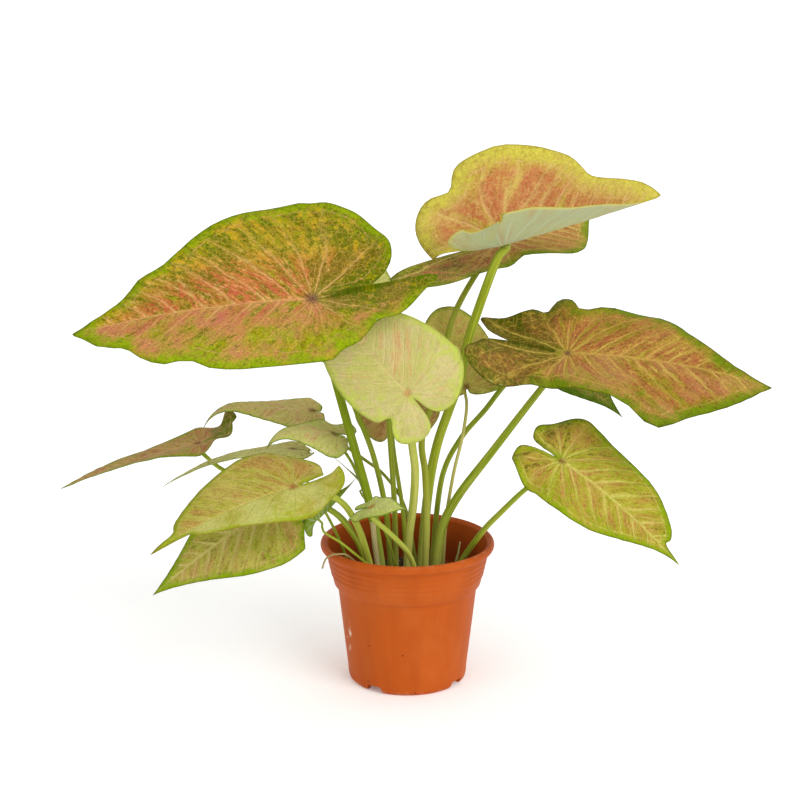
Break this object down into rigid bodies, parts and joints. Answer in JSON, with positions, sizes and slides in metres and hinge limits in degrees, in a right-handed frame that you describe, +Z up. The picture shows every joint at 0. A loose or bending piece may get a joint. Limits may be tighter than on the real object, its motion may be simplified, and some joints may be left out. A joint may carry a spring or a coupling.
{
  "type": "potted caladium",
  "caption": "Caladium houseplant with heart-shaped pink, tan and lime leaves on long stalks, growing from soil in a round plastic nursery pot.",
  "frame": {"origin": "on the ground, under the middle of the plant's outline, which is within 1.5 mm of the pot's own axis", "axes": "+Z up along the pot's axis; +X to the right of the front view, along the plant's greatest width; the front faces -Y"},
  "size_m": [0.4753, 0.2149, 0.3664],
  "materials": {
    "pot_plastic": "terracotta-orange moulded plastic, satin, scuffed",
    "potting_soil": "damp dark potting mix, matte",
    "blade_left_big": "leaf surface with lime margin and pink veins, soft sheen",
    "stalk_left_big": "smooth green leaf stalk, satin",
    "blade_top_right": "leaf surface with lime margin and pink veins, soft sheen",
    "stalk_top_right": "smooth green leaf stalk, satin",
    "blade_upper_middle": "leaf surface with lime margin and pink veins, soft sheen",
    "stalk_upper_middle": "smooth green leaf stalk, satin",
    "blade_right_big": "leaf surface with lime margin and pink veins, soft sheen",
    "stalk_right_big": "smooth green leaf stalk, satin",
    "blade_right_under": "leaf surface with lime margin and pink veins, soft sheen",
    "stalk_right_under": "smooth green leaf stalk, satin",
    "blade_right_low": "leaf surface with lime margin and pink veins, soft sheen",
    "stalk_right_low": "smooth green leaf stalk, satin",
    "blade_far_left": "leaf surface with lime margin and pink veins, soft sheen",
    "stalk_far_left": "smooth green leaf stalk, satin",
    "blade_left_strip": "leaf surface with lime margin and pink veins, soft sheen",
    "stalk_left_strip": "smooth green leaf stalk, satin",
    "blade_left_hooked": "leaf surface with lime margin and pink veins, soft sheen",
    "stalk_left_hooked": "smooth green leaf stalk, satin",
    "blade_front_left": "leaf surface with lime margin and pink veins, soft sheen",
    "stalk_front_left": "smooth green leaf stalk, satin",
    "blade_low_left": "leaf surface with lime margin and pink veins, soft sheen",
    "stalk_low_left": "smooth green leaf stalk, satin",
    "blade_left_narrow": "leaf surface with lime margin and pink veins, soft sheen",
    "stalk_left_narrow": "smooth green leaf stalk, satin",
    "blade_centre_pale": "leaf surface with lime margin and pink veins, soft sheen",
    "stalk_centre_pale": "smooth green leaf stalk, satin",
    "blade_centre_rear": "leaf surface with lime margin and pink veins, soft sheen",
    "stalk_centre_rear": "smooth green leaf stalk, satin",
    "blade_centre_brown": "leaf surface with lime margin and pink veins, soft sheen",
    "stalk_centre_brown": "smooth green leaf stalk, satin",
    "blade_rear_pale": "leaf surface with lime margin and pink veins, soft sheen",
    "stalk_rear_pale": "smooth green leaf stalk, satin",
    "blade_rear_tan": "leaf surface with lime margin and pink veins, soft sheen",
    "stalk_rear_tan": "smooth green leaf stalk, satin",
    "blade_front_small": "leaf surface with lime margin and pink veins, soft sheen",
    "stalk_front_small": "smooth green leaf stalk, satin",
    "blade_rolled_young": "leaf surface with lime margin and pink veins, soft sheen",
    "stalk_rolled_young": "smooth green leaf stalk, satin",
    "blade_narrow_young": "leaf surface with lime margin and pink veins, soft sheen",
    "stalk_narrow_young": "smooth green leaf stalk, satin",
    "dry_stem": "dry brown stem, matte",
    "old_stem": "pale old stem, matte",
    "young_shoot": "pale young shoot, satin"
  },
  "bodies": {
    "root": {"pot": "pot_plastic", "soil": "potting_soil", "blade_left_big": "blade_left_big", "stalk_left_big": "stalk_left_big", "blade_top_right": "blade_top_right", "stalk_top_right": "stalk_top_right", "blade_upper_middle": "blade_upper_middle", "stalk_upper_middle": "stalk_upper_middle", "blade_right_big": "blade_right_big", "stalk_right_big": "stalk_right_big", "blade_right_under": "blade_right_under", "stalk_right_under": "stalk_right_under", "blade_right_low": "blade_right_low", "stalk_right_low": "stalk_right_low", "blade_far_left": "blade_far_left", "stalk_far_left": "stalk_far_left", "blade_left_strip": "blade_left_strip", "stalk_left_strip": "stalk_left_strip", "blade_left_hooked": "blade_left_hooked", "stalk_left_hooked": "stalk_left_hooked", "blade_front_left": "blade_front_left", "stalk_front_left": "stalk_front_left", "blade_low_left": "blade_low_left", "stalk_low_left": "stalk_low_left", "blade_left_narrow": "blade_left_narrow", "stalk_left_narrow": "stalk_left_narrow", "blade_centre_pale": "blade_centre_pale", "stalk_centre_pale": "stalk_centre_pale", "blade_centre_rear": "blade_centre_rear", "stalk_centre_rear": "stalk_centre_rear", "blade_centre_brown": "blade_centre_brown", "stalk_centre_brown": "stalk_centre_brown", "blade_rear_pale": "blade_rear_pale", "stalk_rear_pale": "stalk_rear_pale", "blade_rear_tan": "blade_rear_tan", "stalk_rear_tan": "stalk_rear_tan", "blade_front_small": "blade_front_small", "stalk_front_small": "stalk_front_small", "blade_rolled_young": "blade_rolled_young", "stalk_rolled_young": "stalk_rolled_young", "blade_narrow_young": "blade_narrow_young", "stalk_narrow_young": "stalk_narrow_young", "dry_stem": "dry_stem", "old_stem": "old_stem", "young_shoot": "young_shoot"}
  },
  "joints": []
}
